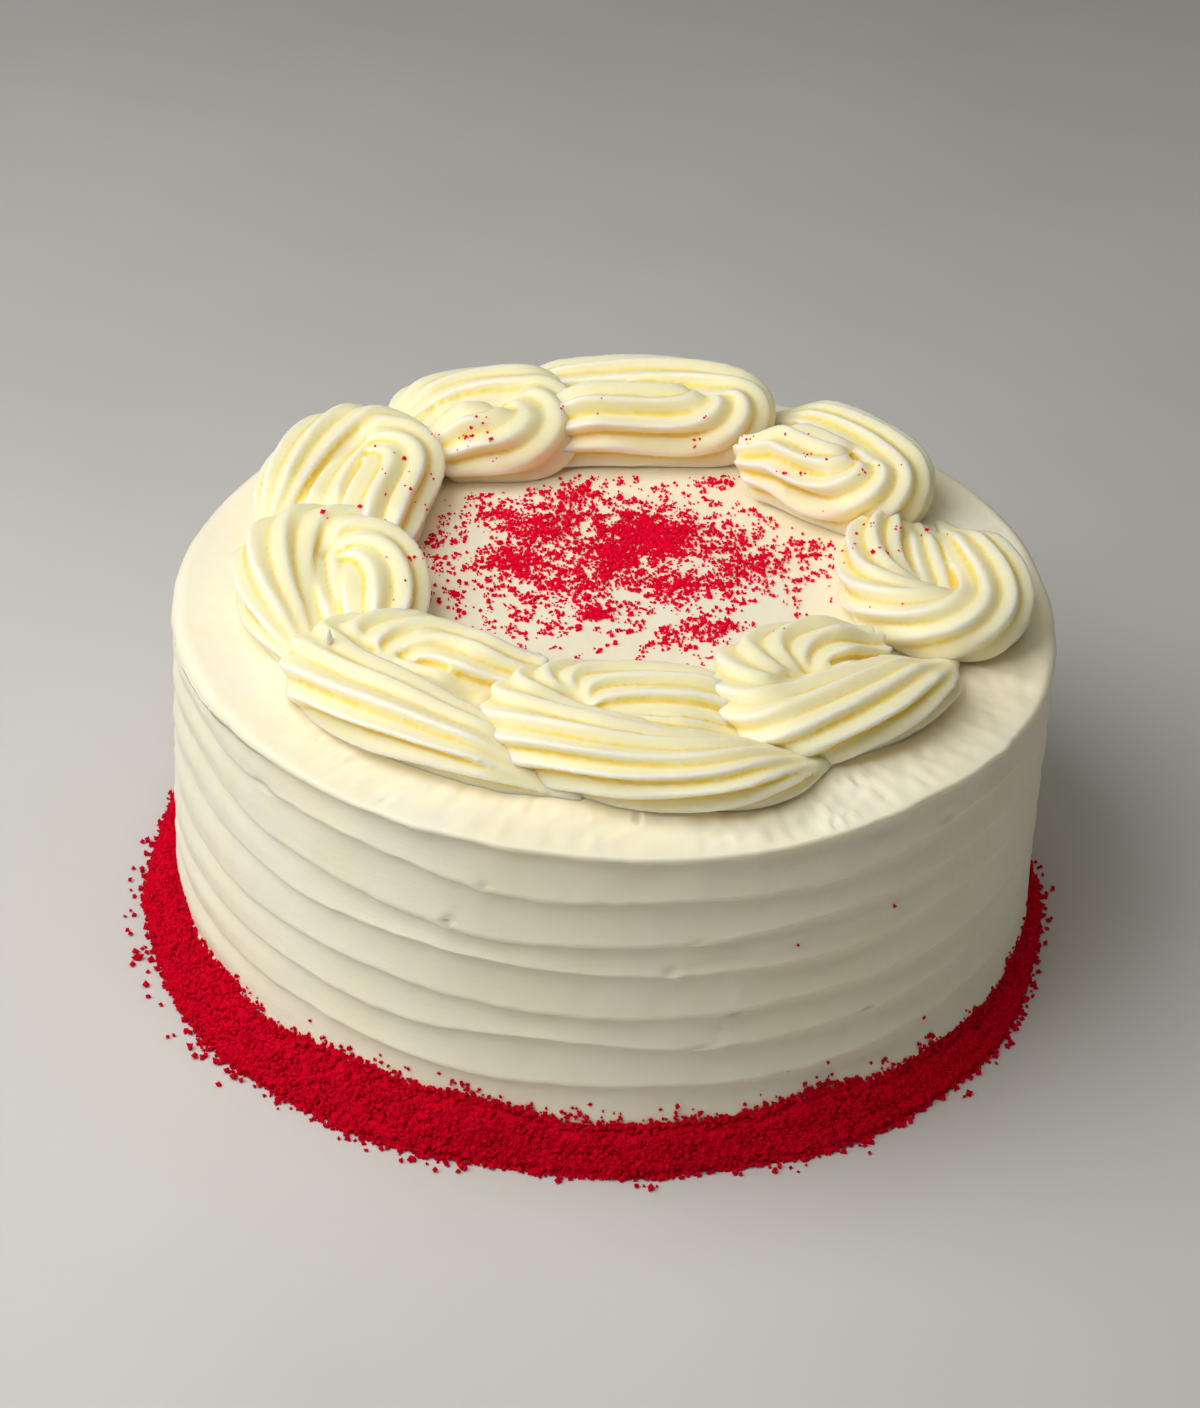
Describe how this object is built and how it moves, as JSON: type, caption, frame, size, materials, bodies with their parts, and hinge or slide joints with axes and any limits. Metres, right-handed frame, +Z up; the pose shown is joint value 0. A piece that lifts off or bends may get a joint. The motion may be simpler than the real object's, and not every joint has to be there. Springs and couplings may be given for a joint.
{
  "type": "red velvet cake",
  "caption": "Round frosted layer cake with soft comb bands on its side, a ring of piped star-nozzle scrolls on its flat top and a red crumb band round its foot.",
  "frame": {"origin": "on the cake's axis, in the plane that the cake and its crumb band stand on", "axes": "+Z up along the cake's axis, -Y towards the front of the pictured view, +X to its right"},
  "size_m": [0.2237, 0.2235, 0.1037],
  "materials": {
    "frosting": "satin",
    "piping": "satin",
    "crumbs": "matte"
  },
  "bodies": {
    "root": {"cake_body": "frosting", "swirl_1": "piping", "swirl_2": "piping", "swirl_3": "piping", "swirl_4": "piping", "swirl_5": "piping", "swirl_6": "piping", "swirl_7": "piping", "swirl_8": "piping", "swirl_9": "piping", "crumb_band": "crumbs"}
  },
  "joints": []
}
